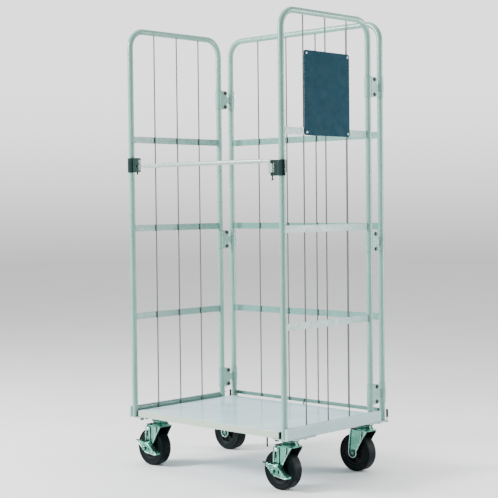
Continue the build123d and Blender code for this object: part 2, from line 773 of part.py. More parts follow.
def fork(x, y):
    """Lower race, crown and two tapered legs, pressed from one sheet."""
    axle = (x - TRAIL, WHEEL_R)
    crown_middle = x + sum(CROWN_X) / 2
    crown_long = CROWN_X[1] - CROWN_X[0]
    with BuildPart() as body:
        with BuildSketch(Plane.XY.offset(CROWN_HIGH - FORK_T)):
            with Locations((crown_middle, y)):
                RectangleRounded(crown_long, 2 * FORK_OUTSIDE, 6)
        extrude(amount=FORK_T)
        with Locations((x, y, CROWN_HIGH)):
            Cone(RACE_R, RACE_R - 4, RACE_LOW - RACE_GAP - CROWN_HIGH, align=STANDING)
        with BuildSketch(upright(y=y - FORK_OUTSIDE)) as leg:
            with BuildLine():
                Polyline(
                    (x + LEG_TOP[0], CROWN_HIGH - 1),
                    (x + LEG_TOP[1], CROWN_HIGH - 1),
                    (axle[0] + LEG_END_R * math.cos(math.radians(20)),
                     axle[1] + LEG_END_R * math.sin(math.radians(20))),
                    (axle[0], axle[1]),
                    (axle[0] - LEG_END_R, axle[1]),
                    close=True,
                )
            make_face()
            with Locations(axle):
                Circle(LEG_END_R)
        extrude(amount=-FORK_T)
        with BuildSketch(upright(y=y + FORK_OUTSIDE)):
            add(leg.sketch.moved(Location((0, 2 * FORK_OUTSIDE, 0))))
        extrude(amount=FORK_T)
        with BuildSketch(upright(y=y)):
            with Locations(axle):
                Circle(AXLE_R)
        extrude(amount=FORK_OUTSIDE + 1, both=True, mode=Mode.SUBTRACT)
        with Locations((x, y, CROWN_HIGH)):
            Cylinder(KINGPIN_R + RUNNING, 40, mode=Mode.SUBTRACT)
    return body.part


def axle(x, y, braked):
    """Axle bolt with its head at the front and a nut at the back. A braked one is longer in
    front, where the pedal turns on it."""
    front = PEDAL_IN + PEDAL_WIDE + 1 if braked else FORK_OUTSIDE
    with BuildPart() as bolt:
        with BuildSketch(upright(y=y - front)):
            with Locations((x - TRAIL, WHEEL_R)):
                Circle(AXLE_R)
        extrude(amount=-(front + FORK_OUTSIDE + 8))
        with BuildSketch(upright(y=y - front)):
            with Locations((x - TRAIL, WHEEL_R)):
                RegularPolygon(NUT_R, 6)
        extrude(amount=AXLE_HEAD)
        with BuildSketch(upright(y=y + FORK_OUTSIDE)):
            with Locations((x - TRAIL, WHEEL_R)):
                RegularPolygon(NUT_R, 6)
        extrude(amount=-AXLE_HEAD)
    return bolt.part


def wheel_disc(x, y, profile):
    """A body of revolution about the wheel's axle, from (radius, half width) points."""
    outline = [(r, w) for r, w in profile] + [(r, -w) for r, w in reversed(profile)]
    spin = Plane(origin=(x - TRAIL, y, WHEEL_R), x_dir=(1, 0, 0), z_dir=(0, 0, 1))
    with BuildPart() as disc:
        with BuildSketch(spin):
            with BuildLine():
                Polyline(*outline, close=True)
            make_face()
        revolve(axis=Axis((x - TRAIL, y, WHEEL_R), (0, 1, 0)))
    return disc.part


def tyre(x, y):
    half = WHEEL_WIDTH / 2
    profile = [
        (CORE_R, half - 3),
        (WHEEL_R - 10, half - 1),
        (WHEEL_R - 7, half),
        (WHEEL_R, half),
    ]
    with BuildPart() as rubber:
        add(wheel_disc(x, y, profile))
        outer_rims = rubber.edges().filter_by(lambda e: e.length > 2 * math.pi * (WHEEL_R - 1))
        fillet(outer_rims.filter_by(GeomType.CIRCLE), TYRE_SHOULDER)
    return rubber.part


def wheel_core(x, y):
    half = WHEEL_WIDTH / 2
    web = half - 11
    profile = [
        (AXLE_R + RUNNING, half + 2),
        (HUB_R, half + 2),
        (HUB_R + 3, web),
        (CORE_R - 6, web),
        (CORE_R - 4, half - 3),
        (CORE_R, half - 3),
    ]
    return wheel_disc(x, y, profile)


def brake_strap(x, y):
    """Spring strip down the front leg, from the crown to the pedal."""
    strip_x = x - TRAIL - STRAP_OFF
    middle = (STRAP_LOW + STRAP_HIGH) / 2
    with BuildPart() as strap:
        with BuildSketch(upright(y=y - FORK_OUTSIDE)) as outline:
            with Locations((strip_x, middle)):
                Rectangle(STRAP_WIDE, STRAP_HIGH - STRAP_LOW)
            fillet(outline.vertices(), 6)
            with Locations((strip_x, middle + 12)):
                SlotOverall(26, 7, rotation=90, mode=Mode.SUBTRACT)
            with Locations((strip_x, middle - 18)):
                Circle(4, mode=Mode.SUBTRACT)
        extrude(amount=STRAP_STEEL)
    return strap.part


def pedal_outline():
    """The pressing seen from the front: high on the left, with a lip turned up on the right."""
    Polyline(
        (-36, 28), (-22, 26), (5, 24), (18, 21), (31, 13), (43, 2), (55, -9),
        (68, -14), (68, -20), (55, -23), (38, -21), (6, -18), (-10, -7), (-36, 19), close=True,
    )


def brake_pedal(x, y):
    """Rocker pedal that turns on the axle: a shallow pan with its rim towards the wheel."""
    inner = Plane(origin=(x - TRAIL, y - PEDAL_IN, WHEEL_R), x_dir=(1, 0, 0), z_dir=(0, -1, 0))
    with BuildPart() as pedal:
        with BuildSketch(inner) as outline:
            with BuildLine():
                pedal_outline()
            make_face()
            fillet(outline.vertices().sort_by(Axis.X)[:-2], 3)
        extrude(amount=PEDAL_WIDE)
        fillet(pedal.faces().sort_by(Axis.Y)[0].edges(), 2)
        with BuildSketch(inner):
            offset(outline.sketch_local, amount=-PEDAL_T)
        extrude(amount=PEDAL_WIDE - PEDAL_T, mode=Mode.SUBTRACT)
        with BuildSketch(inner.offset(1)):
            Circle(PEDAL_HUB_R)
        extrude(amount=PEDAL_WIDE - 1)
        with BuildSketch(inner):
            Circle(AXLE_R + RUNNING)
            with Locations((27, 1)):
                SlotOverall(15, 6, rotation=80)
        extrude(amount=PEDAL_WIDE, mode=Mode.SUBTRACT)
        with BuildSketch(inner.offset(4)):
            with Locations((-46, 25)):
                Rectangle(22, 3)
        extrude(amount=8)
    return pedal.part


for side, name in SIDE_NAMES.items():
    x = MID_X + side * CASTER_X
    plates = [caster_plate(x, FRONT_Y + y) for y in (CASTER_FRONT, CASTER_REAR)]
    with BuildPart() as both_plates:
        add(plates)
    save(both_plates.part, f"{name}_caster_plates")
    save(caster_bolts(side), f"{name}_caster_bolts")
    save(base_beam(side), f"{name}_base_beam")
    save(caster_pads(side), f"{name}_caster_pads")
    save(stop_sleeve(side), f"{name}_stop_sleeve")
    save(hinge_clamps(side), f"{name}_hinge_clamps")
    save(hinge_knuckles(side), f"{name}_hinge_knuckles")
    save(hinge_bolts(side), f"{name}_hinge_bolts")
    for end, y in (("front", FRONT_Y + CASTER_FRONT), ("rear", FRONT_Y + CASTER_REAR)):
        caster = f"{end}_{name}"
        braked = caster in BRAKE_CASTERS
        save(fork(x, y), f"{caster}_fork")
        save(axle(x, y, braked), f"{caster}_axle")
        save(tyre(x, y), f"{caster}_tyre")
        save(wheel_core(x, y), f"{caster}_wheel_core")
        if braked:
            save(brake_strap(x, y), f"{caster}_brake_strap")
            save(brake_pedal(x, y), f"{caster}_brake_pedal")
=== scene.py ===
"""A roll cage container in a pale studio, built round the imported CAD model."""

import json
import math
import random

import bmesh
import bpy
from mathutils import Matrix, Vector


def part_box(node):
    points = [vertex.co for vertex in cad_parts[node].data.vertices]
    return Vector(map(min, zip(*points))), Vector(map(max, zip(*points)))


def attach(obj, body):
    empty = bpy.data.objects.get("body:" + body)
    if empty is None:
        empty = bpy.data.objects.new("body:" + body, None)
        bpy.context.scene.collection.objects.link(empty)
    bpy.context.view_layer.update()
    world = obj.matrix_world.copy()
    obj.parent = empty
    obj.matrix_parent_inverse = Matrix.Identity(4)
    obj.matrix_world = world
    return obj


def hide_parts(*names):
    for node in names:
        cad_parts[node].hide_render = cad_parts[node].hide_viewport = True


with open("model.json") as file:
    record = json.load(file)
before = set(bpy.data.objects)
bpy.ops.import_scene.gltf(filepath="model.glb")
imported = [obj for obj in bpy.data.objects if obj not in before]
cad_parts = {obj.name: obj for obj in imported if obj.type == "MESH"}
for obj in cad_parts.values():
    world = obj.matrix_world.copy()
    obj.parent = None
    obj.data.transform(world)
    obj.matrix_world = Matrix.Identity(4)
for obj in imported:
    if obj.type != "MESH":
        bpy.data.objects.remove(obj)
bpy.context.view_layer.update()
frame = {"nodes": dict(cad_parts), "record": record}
NODES = frame["nodes"]
RECORD = frame["record"]

# ---------------------------------------------------------------- camera
CAMERA_AT = Vector((3.380, -3.589, 1.017))
CAMERA_YAW = math.radians(43.5)
CAMERA_PITCH = math.radians(2.03)
CAMERA_ROLL = math.radians(-0.65)
CAMERA_LENS = 93.3
CAMERA_SENSOR = 36
CAMERA_SHIFT = (0.0016, 0.0020)
CAMERA_REACH = 60


def add_camera():
    forward = Vector((
        -math.sin(CAMERA_YAW) * math.cos(CAMERA_PITCH),
        math.cos(CAMERA_YAW) * math.cos(CAMERA_PITCH),
        -math.sin(CAMERA_PITCH),
    ))
    level = Vector((math.cos(CAMERA_YAW), math.sin(CAMERA_YAW), 0))
    above = level.cross(forward)
    right = math.cos(CAMERA_ROLL) * level + math.sin(CAMERA_ROLL) * above
    up = -math.sin(CAMERA_ROLL) * level + math.cos(CAMERA_ROLL) * above
    data = bpy.data.cameras.new("camera")
    data.lens = CAMERA_LENS
    data.sensor_width = CAMERA_SENSOR
    data.shift_x, data.shift_y = CAMERA_SHIFT
    data.clip_end = CAMERA_REACH
    camera = bpy.data.objects.new("camera", data)
    turn = Matrix((right, up, -forward)).transposed().to_4x4()
    camera.matrix_world = Matrix.Translation(CAMERA_AT) @ turn
    bpy.context.scene.collection.objects.link(camera)
    bpy.context.scene.camera = camera


# ---------------------------------------------------------------- materials
BARE_STEEL = (0.30, 0.31, 0.31)
PALE_DUST = (0.34, 0.36, 0.35)
BRUSH = (1, 1, 14)


def eased(tree, value, low, high, start=0.0, end=1.0):
    """Goes smoothly from start to end while the value goes from low to high."""
    node = tree.nodes.new("ShaderNodeMapRange")
    node.interpolation_type = "SMOOTHSTEP"
    for key, number in (("From Min", low), ("From Max", high), ("To Min", start), ("To Max", end)):
        node.inputs[key].default_value = number
    tree.links.new(value, node.inputs["Value"])
    return node.outputs["Result"]


class Shader:
    """A material's node tree, with short calls for the nodes used here."""

    def __init__(self, name):
        self.material = bpy.data.materials.new(name)
        self.material.use_nodes = True
        self.tree = self.material.node_tree
        self.nodes = self.tree.nodes
        self.surface = self.nodes["Principled BSDF"]
        self.place = self.nodes.new("ShaderNodeTexCoord").outputs["Object"]

    def link(self, source, target):
        self.tree.links.new(source, target)

    def noise(self, scale, detail=4, rough=0.55, stretch=None):
        node = self.nodes.new("ShaderNodeTexNoise")
        node.inputs["Scale"].default_value = scale
        node.inputs["Detail"].default_value = detail
        node.inputs["Roughness"].default_value = rough
        place = self.place
        if stretch:
            mapping = self.nodes.new("ShaderNodeMapping")
            mapping.inputs["Scale"].default_value = stretch
            self.link(place, mapping.inputs["Vector"])
            place = mapping.outputs["Vector"]
        self.link(place, node.inputs["Vector"])
        return node.outputs["Fac"]

    def ramp(self, value, low, high, start=0.0, end=1.0):
        return eased(self.tree, value, low, high, start, end)

    def math(self, kind, a, b):
        node = self.nodes.new("ShaderNodeMath")
        node.operation = kind
        for socket, value in zip(node.inputs, (a, b)):
            if isinstance(value, (int, float)):
                socket.default_value = value
            else:
                self.link(value, socket)
        return node.outputs["Value"]

    def mix(self, fac, a, b):
        node = self.nodes.new("ShaderNodeMix")
        node.data_type = "RGBA"
        self.link(fac, node.inputs["Factor"])
        for socket, value in ((node.inputs[6], a), (node.inputs[7], b)):
            if isinstance(value, tuple):
                socket.default_value = (*value, 1)
            else:
                self.link(value, socket)
        return node.outputs[2]

    def edges(self, radius):
        """1 on outer edges and 0 on open faces, from how far a rounded normal leans."""
        bevel = self.nodes.new("ShaderNodeBevel")
        bevel.samples = 4
        bevel.inputs["Radius"].default_value = radius
        flat = self.nodes.new("ShaderNodeNewGeometry")
        dot = self.nodes.new("ShaderNodeVectorMath")
        dot.operation = "DOT_PRODUCT"
        self.link(bevel.outputs["Normal"], dot.inputs[0])
        self.link(flat.outputs["Normal"], dot.inputs[1])
        lean = self.math("SUBTRACT", 1.0, dot.outputs["Value"])
        return self.ramp(lean, 0.02, 0.20)

    def upward(self):
        """1 on faces that look up or down, and 0 on upright ones."""
        facing = self.nodes.new("ShaderNodeNewGeometry").outputs["True Normal"]
        apart = self.nodes.new("ShaderNodeSeparateXYZ")
        self.link(facing, apart.inputs["Vector"])
        return self.ramp(self.math("ABSOLUTE", apart.outputs["Z"], 0), 0.5, 0.9)

    def shaded_crevices(self, distance, low=0.30, high=0.92):
        """1 deep in gaps and corners, and 0 in the open: the mask for painted shade."""
        node = self.nodes.new("ShaderNodeAmbientOcclusion")
        node.samples = 6
        node.inputs["Distance"].default_value = distance
        return self.ramp(node.outputs["AO"], low, high, 1.0, 0.0)

    def bump(self, height, strength, distance):
        node = self.nodes.new("ShaderNodeBump")
        node.inputs["Strength"].default_value = strength
        node.inputs["Distance"].default_value = distance
        self.link(height, node.inputs["Height"])
        self.link(node.outputs["Normal"], self.surface.inputs["Normal"])

    def colour(self, value):
        self.link(value, self.surface.inputs["Base Color"])

    def roughness(self, value):
        self.link(value, self.surface.inputs["Roughness"])

    def fixed(self, **numbers):
        for key, number in numbers.items():
            self.surface.inputs[key.replace("_", " ")].default_value = number


def shade(colour, factor):
    return tuple(channel * factor for channel in colour)


def powder_coat(name, colour, rough, wear=0.5, upright=None, corner_shade_reach=0.010):
    """Sprayed enamel: fine orange peel, faint blotches, a little dirt, chipped edges and painted shade in
    corners.
    Upright faces may have a colour of their own, and one argument sets how far the painted corner shade
    reaches."""
    s = Shader(name)
    blotch = s.ramp(s.noise(7), 0.35, 0.68)
    body = s.mix(blotch, shade(colour, 0.93), shade(colour, 1.05))
    if upright:
        body = s.mix(s.upward(), upright, body)
    grime = s.ramp(s.noise(38, 6, 0.65), 0.62, 0.80, 0, 0.30)
    body = s.mix(grime, body, shade(colour, 0.62))
    # Painted shade: gaps and corners darken towards a third of the colour.
    body = s.mix(s.math("MULTIPLY", s.shaded_crevices(corner_shade_reach), 0.60), body, shade(colour, 0.30))
    broken = s.ramp(s.noise(260, 4, 0.7), 0.52, 0.64)
    chips = s.math("MULTIPLY", s.edges(0.0012), s.math("MULTIPLY", broken, wear))
    s.colour(s.mix(chips, body, BARE_STEEL))
    s.roughness(s.ramp(s.noise(55), 0.3, 0.7, rough - 0.05, rough + 0.09))
    s.bump(s.noise(900, 2), 0.10, 0.0004)
    s.fixed(IOR=1.5)
    return s.material


def plated_steel(name, colour, rough, metal=0.85):
    """Zinc plate: streaky, with cloudy passivation, edges paler as painted highlight, and painted shade near
    black in gaps and corners.
    """
    s = Shader(name)
    cloud = s.ramp(s.noise(28, 5, 0.6), 0.32, 0.70)
    body = s.mix(cloud, shade(colour, 0.62), shade(colour, 1.30))
    stain = s.ramp(s.noise(75, 6, 0.7), 0.60, 0.76, 0, 0.5)
    body = s.mix(stain, body, shade(colour, 0.45))
    # Painted highlight: edges paler than the plate.
    body = s.mix(s.edges(0.0010), body, shade(colour, 1.35))
    # Painted shade: gaps and corners go almost black.
    s.colour(s.mix(s.shaded_crevices(0.045, 0.25, 0.85), body, shade(colour, 0.02)))
    s.roughness(s.ramp(s.noise(120, 4, 0.6, BRUSH), 0.3, 0.7, rough - 0.08, rough + 0.14))
    s.bump(s.noise(420, 3, 0.6, BRUSH), 0.14, 0.0003)
    s.fixed(Metallic=metal)
    return s.material


def moulded(name, colour, rough, dust, grain=700, shine=0.5, mottle=0.19, rub=0.35):
    """Moulded plastic or rubber: fine grain, rubbed paler edges and light dust."""
    s = Shader(name)
    tone = s.ramp(s.noise(24, 4), 0.35, 0.68)
    body = s.mix(tone, shade(colour, 1 - mottle), shade(colour, 1 + mottle))
    dusty = s.ramp(s.noise(60, 6, 0.7), 0.50, 0.74, 0, dust)
    body = s.mix(dusty, body, PALE_DUST)
    rubbed = s.math("MULTIPLY", s.edges(0.0012), rub)
    s.colour(s.mix(rubbed, body, tuple(min(1, 0.05 + channel * 2.2) for channel in colour)))
    s.roughness(s.ramp(s.noise(45), 0.3, 0.7, rough - 0.07, rough + 0.10))
    s.bump(s.noise(grain, 3, 0.6), 0.18, 0.0003)
    s.fixed(Specular_IOR_Level=shine)
    return s.material


FINISHES = {
    "frame_paint": (powder_coat, (0.175, 0.345, 0.292), {"rough": 0.20}),
    # The rails' painted corner shade reaches far, so the low rails beside the deck and the wire crossings
    # darken.
    "rail_paint": (powder_coat, (0.120, 0.268, 0.232), {"rough": 0.20, "corner_shade_reach": 0.055}),
    "wire_paint": (powder_coat, (0.070, 0.090, 0.083), {"rough": 0.40, "wear": 0.3}),
    # Near black: painted shadow on the weld spots where the wires cross the rails.
    "weld_spot": (powder_coat, (0.020, 0.040, 0.035), {"rough": 0.42, "wear": 0.2}),
    "beam_paint": (powder_coat, (0.300, 0.440, 0.450), {"rough": 0.34}),
    "deck_paint": (
        powder_coat, (0.450, 0.660, 0.720),
        {"rough": 0.09, "wear": 0.35, "upright": (0.360, 0.450, 0.370)},
    ),
    "bar_paint": (powder_coat, (0.250, 0.345, 0.305), {"rough": 0.22, "wear": 0.3, "corner_shade_reach": 0.020}),
    "zinc_plate": (plated_steel, (0.072, 0.250, 0.185), {"rough": 0.20}),
    # A paler copy of the zinc plate: painted highlight for rims and pressings.
    "zinc_rim": (plated_steel, (0.420, 0.620, 0.560), {"rough": 0.24}),
    "dark_bolt": (plated_steel, (0.0040, 0.0075, 0.0075), {"rough": 0.42, "metal": 0.25}),
    "clamp_plastic": (
        moulded, (0.0005, 0.017, 0.0145),
        {"rough": 0.12, "dust": 0.0, "mottle": 0.08, "rub": 0.12},
    ),
    "sign_plate": (
        moulded, (0.007, 0.038, 0.057),
        {"rough": 0.60, "dust": 0.008, "grain": 1100, "shine": 0.05, "mottle": 0.04, "rub": 0.25},
    ),
    "white_rivet": (moulded, (0.34, 0.42, 0.44), {"rough": 0.28, "dust": 0.05}),
    "tyre_rubber": (
        moulded, (0.0004, 0.0036, 0.0046),
        {"rough": 0.46, "dust": 0.006, "grain": 520, "shine": 0.09},
    ),
    "wheel_core": (moulded, (0.0004, 0.0036, 0.0044), {"rough": 0.38, "dust": 0.006, "shine": 0.14}),
    "sleeve_rubber": (
        moulded, (0.0020, 0.0030, 0.0030),
        {"rough": 0.55, "dust": 0.02, "grain": 520, "shine": 0.20},
    ),
    "nylon": (moulded, (0.0030, 0.0045, 0.0045), {"rough": 0.50, "dust": 0.02, "shine": 0.25}),
}
MATERIALS = {name: make(name, colour, **look) for name, (make, colour, look) in FINISHES.items()}


def paint_cad():
    """Gives every CAD node the material that the record names."""
    for part in RECORD["subparts"]:
        node = NODES[part["node"]]
        for place in node.material_slots:
            place.material = MATERIALS[part["material_slot"]]


# ---------------------------------------------------------------- studio
FLOOR_HALF = 14
WHITE = (1.0, 1.0, 1.0, 1)
FLAG_TOWARD = (0.995, -0.02, 0.10)


def studio_material():
    """A nearly white floor with faint clouds."""
    s = Shader("studio_floor")
    tone = s.ramp(s.noise(2.0, 3), 0.3, 0.7)
    s.colour(s.mix(tone, (0.86, 0.87, 0.87), (0.90, 0.90, 0.90)))
    s.roughness(s.ramp(s.noise(9), 0.3, 0.7, 0.55, 0.65))
    return s.material


def add_floor():
    mesh = bpy.data.meshes.new("floor")
    half = FLOOR_HALF
    corners = [(-half, -half, 0), (half, -half, 0), (half, half, 0), (-half, half, 0)]
    mesh.from_pydata(corners, [], [(0, 1, 2, 3)])
    mesh.materials.append(studio_material())
    floor = bpy.data.objects.new("floor", mesh)
    bpy.context.scene.collection.objects.link(floor)


def softbox(name, place, target, size, power):
    """A rectangular area light at a place, turned towards a target."""
    data = bpy.data.lights.new(name, "AREA")
    data.shape = "RECTANGLE"
    data.size, data.size_y = size
    data.energy = power
    light = bpy.data.objects.new(name, data)
    light.location = place
    aim = Vector(target) - Vector(place)
    light.rotation_euler = aim.to_track_quat("-Z", "Y").to_euler()
    bpy.context.scene.collection.objects.link(light)


def add_backdrop():
    """Even light all round except from one dark flag. The camera itself sees a pale backdrop
    that brightens upwards to white."""
    world = bpy.data.worlds.new("studio")
    world.use_nodes = True
    tree = world.node_tree
    nodes, link = tree.nodes, tree.links.new
    toward = nodes.new("ShaderNodeTexCoord").outputs["Generated"]

    even = nodes["Background"]
    even.inputs["Color"].default_value = WHITE
    flag = nodes.new("ShaderNodeVectorMath")
    flag.operation = "DOT_PRODUCT"
    flag.inputs[1].default_value = FLAG_TOWARD
    link(toward, flag.inputs[0])
    link(eased(tree, flag.outputs["Value"], 0.66, 0.90, start=1.0, end=0.06), even.inputs["Strength"])

    pale = nodes.new("ShaderNodeBackground")
    apart = nodes.new("ShaderNodeSeparateXYZ")
    link(toward, apart.inputs["Vector"])
    link(eased(tree, apart.outputs["Z"], -0.07, 0.10, start=0.95, end=2.6), pale.inputs["Strength"])

    both = nodes.new("ShaderNodeMixShader")
    link(nodes.new("ShaderNodeLightPath").outputs["Is Camera Ray"], both.inputs["Fac"])
    link(even.outputs["Background"], both.inputs[1])
    link(pale.outputs["Background"], both.inputs[2])
    link(both.outputs["Shader"], nodes["World Output"].inputs["Surface"])
    bpy.context.scene.world = world


def add_light():
    middle = (0, 0, 0.85)
    softbox("key", (-2.6, -3.6, 2.9), middle, size=(1.5, 1.5), power=560)
    softbox("side", (1.9, 1.45, 1.10), (0.43, 0, 0.90), size=(0.7, 1.7), power=60)
    softbox("top", (0, 0, 4.6), middle, size=(3.0, 3.0), power=100)


# ---------------------------------------------------------------- mesh building
MM = 0.001
SHARP_ANGLE = math.radians(38)
ROD_END = [(0.8, 0.35), (0.4, 0.8)]


def make_piece(name, verts, faces, body, finish, bevel=0.0, stands_for=(), slot=None):
    """A mesh that rides on a CAD body, with the finish's material in its slot. The slot argument is not
    used.
    """
    mesh = bpy.data.meshes.new(name)
    mesh.from_pydata([tuple(v) for v in verts], [], faces)
    mesh.validate()
    shape = bmesh.new()
    shape.from_mesh(mesh)
    bmesh.ops.recalc_face_normals(shape, faces=shape.faces)
    shape.to_mesh(mesh)
    shape.free()
    mesh.shade_smooth()
    mesh.set_sharp_from_angle(angle=SHARP_ANGLE)
    mesh.materials.append(MATERIALS[finish])
    piece = bpy.data.objects.new(name, mesh)
    bpy.context.scene.collection.objects.link(piece)
    if bevel:
        rounding = piece.modifiers.new("rounding", "BEVEL")
        rounding.width = bevel
        rounding.segments = 3
        rounding.limit_method = "ANGLE"
        rounding.harden_normals = True
    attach(piece, body)
    slot or finish
    if stands_for:
        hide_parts(*stands_for)


def joined(parts):
    """One list of corners and faces from several."""
    verts, faces = [], []
    for part_verts, part_faces in parts:
        start = len(verts)
        verts += part_verts
        faces += [tuple(i + start for i in face) for face in part_faces]
    return verts, faces


def spokes(axis, steps):
    """Unit directions square to an axis, evenly spaced round it."""
    side = axis.orthogonal().normalized()
    other = axis.cross(side)
    angles = [2 * math.pi * step / steps for step in range(steps)]
    return [side * math.cos(angle) + other * math.sin(angle) for angle in angles]


def turned(profile, centre, axis, steps=72):
    """A closed (radius, along) outline, in millimetres, turned about an axis through a point."""
    axis, centre = Vector(axis).normalized(), Vector(centre)
    verts = []
    for out in spokes(axis, steps):
        verts += [centre + out * (r * MM) + axis * (a * MM) for r, a in profile]
    count = len(profile)
    faces = []
    for step in range(steps):
        here, there = step * count, (step + 1) % steps * count
        for i in range(count):
            j = (i + 1) % count
            faces.append((here + i, there + i, there + j, here + j))
    return verts, faces


def lathe(profile, centre, axis, steps=48):
    """Like turned, but the outline starts and ends on the axis, so the shape is solid.
    Six steps make a hexagon."""
    axis, centre = Vector(axis).normalized(), Vector(centre)
    directions = spokes(axis, steps)
    rings = profile[1:-1]
    verts = [centre + axis * (profile[0][1] * MM)]
    for r, a in rings:
        verts += [centre + out * (r * MM) + axis * (a * MM) for out in directions]
    verts.append(centre + axis * (profile[-1][1] * MM))
    end = len(verts) - 1
    faces = []
    for step in range(steps):
        then = (step + 1) % steps
        faces.append((0, 1 + step, 1 + then))
        for ring in range(len(rings) - 1):
            low, high = 1 + ring * steps, 1 + (ring + 1) * steps
            faces.append((low + step, high + step, high + then, low + then))
        last = 1 + (len(rings) - 1) * steps
        faces.append((end, last + then, last + step))
    return verts, faces


def rod(points, radius, out, sides=10):
    """A round rod along a flat path, with rounded ends. out is square to the path's plane."""
    points = [Vector(point) for point in points]
    out = Vector(out).normalized()
    first = (points[1] - points[0]).normalized()
    last = (points[-1] - points[-2]).normalized()
    stations = [(points[0] - first * radius * beyond, wide) for beyond, wide in ROD_END]
    stations += [(point, 1.0) for point in points]
    stations += [(points[-1] + last * radius * beyond, wide) for beyond, wide in reversed(ROD_END)]
    verts = []
    for n, (place, scale) in enumerate(stations):
        before, after = stations[max(n - 1, 0)][0], stations[min(n + 1, len(stations) - 1)][0]
        flank = (after - before).normalized().cross(out)
        for k in range(sides):
            angle = 2 * math.pi * k / sides
            verts.append(place + (flank * math.cos(angle) + out * math.sin(angle)) * radius * scale)
    faces = [tuple(reversed(range(sides)))]
    for n in range(len(stations) - 1):
        for k in range(sides):
            low, then = n * sides, (k + 1) % sides
            faces.append((low + k, low + then, low + sides + then, low + sides + k))
    faces.append(tuple(range((len(stations) - 1) * sides, len(stations) * sides)))
    return verts, faces


def strip(path, inset, place, reach):
    """A band that follows a flat path. Its inner edge is inset to the left of the path."""
    count = len(path)
    inner = []
    for n, (u, v) in enumerate(path):
        before, after = path[max(n - 1, 0)], path[min(n + 1, count - 1)]
        du, dv = after[0] - before[0], after[1] - before[1]
        size = math.hypot(du, dv)
        inner.append((u - dv / size * inset, v + du / size * inset))
    verts = [place(u, v, w) for w in (0, reach) for edge in (path, inner) for u, v in edge]
    faces = [(0, count, 3 * count, 2 * count)]
    for n in range(count - 1):
        for low, high in ((0, 1), (1, 3), (3, 2), (2, 0)):
            a, b = low * count + n, high * count + n
            faces.append((a, a + 1, b + 1, b))
    faces.append(tuple(corner * count + count - 1 for corner in (0, 1, 3, 2)))
    return verts, faces


def pressed(outline, place, thick):
    """A flat outline given thickness. place(u, v, w) puts a point, in millimetres, in the room."""
    count = len(outline)
    verts = [place(u, v, w) for w in (0, thick) for u, v in outline]
    faces = [tuple(reversed(range(count))), tuple(range(count, 2 * count))]
    faces += [(i, (i + 1) % count, count + (i + 1) % count, count + i) for i in range(count)]
    return verts, faces


def blob(centre, radii, rings=5, sides=8):
    """A small closed ellipsoid, as one drop of weld."""
    centre = Vector(centre)
    verts = [centre + Vector((0, 0, radii[2]))]
    for ring in range(1, rings):
        tilt = math.pi * ring / rings
        for k in range(sides):
            turn = 2 * math.pi * k / sides
            verts.append(centre + Vector((
                radii[0] * math.sin(tilt) * math.cos(turn),
                radii[1] * math.sin(tilt) * math.sin(turn),
                radii[2] * math.cos(tilt),
            )))
    verts.append(centre - Vector((0, 0, radii[2])))
    faces = [(0, 1 + k, 1 + (k + 1) % sides) for k in range(sides)]
    for ring in range(rings - 2):
        low = 1 + ring * sides
        for k in range(sides):
            n = (k + 1) % sides
            faces.append((low + k, low + sides + k, low + sides + n, low + n))
    last, end = 1 + (rings - 2) * sides, len(verts) - 1
    faces += [(end, last + (k + 1) % sides, last + k) for k in range(sides)]
    return verts, faces


def middle_of(node):
    low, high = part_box(node)
    return (Vector(low) + Vector(high)) / 2


# ---------------------------------------------------------------- welds
# Metres, as in the frame.
RAIL_HEIGHTS = (1.271, 0.929, 0.588)
RAIL_HALF = 0.0125
BEAD_DROP = (0.0021, 0.0021, 0.0032)
BEAD_INSET = 0.002
WIRE_SPOT = (0.0038, 0.0038, 0.0042)
WIRE_SPOT_RISE = RAIL_HALF * 0.72
WIRE_GAP = 0.02
draw = random.Random(11)


def bead(start, end, drops=6):
    """A run of overlapping drops of weld from one point to another."""
    start, end = Vector(start), Vector(end)
    run = []
    for n in range(drops):
        place = start.lerp(end, (n + 0.5) / drops)
        grow = draw.uniform(0.85, 1.15)
        run.append(blob(place, [radius * grow for radius in BEAD_DROP]))
    return run


def rail_welds(low, high, flat, level, along, across):
    """Beads where each rail meets its two posts, on both faces of the rail."""
    runs = []
    for height in RAIL_HEIGHTS:
        for end in (low, high):
            for face in (-1, 1):
                foot = [0, 0, height - RAIL_HALF + BEAD_INSET]
                foot[along], foot[across] = end, level + face * flat
                top = list(foot)
                top[2] = height + RAIL_HALF - BEAD_INSET
                runs += bead(foot, top)
    return runs


def wire_welds(wires, along, across, level):
    """Two spots of weld where each wire crosses a rail, near the rail's lower and upper edge."""
    spots = []
    for place in wires:
        for height in RAIL_HEIGHTS:
            for end in (-1, 1):
                spot = [0, 0, height + end * WIRE_SPOT_RISE]
                spot[along], spot[across] = place, level
                spots.append(blob(spot, WIRE_SPOT))
    return spots


def wire_places(node, axis):
    """Where each wire of a node stands along one axis, from the node's own corners."""
    seen = sorted({round(corner.co[axis], 3) for corner in NODES[node].data.vertices})
    groups = [[seen[0]]]
    for value in seen[1:]:
        if value - groups[-1][-1] > WIRE_GAP:
            groups.append([])
        groups[-1].append(value)
    return [(group[0] + group[-1]) / 2 for group in groups]


def add_frame_welds(name, body, along, across):
    """The welds of one frame, whose rails run along one axis and are flat across the other."""
    low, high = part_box(f"{name}_rails")
    level = (low[across] + high[across]) / 2
    flat = (high[across] - low[across]) / 2
    runs = rail_welds(low[along], high[along], flat, level, along, across)
    make_piece(f"{name}_frame_welds", *joined(runs), body, "rail_paint")
    wire_level = middle_of(f"{name}_wires")[across]
    places = wire_places(f"{name}_wires", along)
    spots = wire_welds(places, along, across, (wire_level + level) / 2)
    # The weld spots are near black: painted shadow at the wire crossings.
    make_piece(f"{name}_wire_welds", *joined(spots), body, "weld_spot", slot="wire_paint")


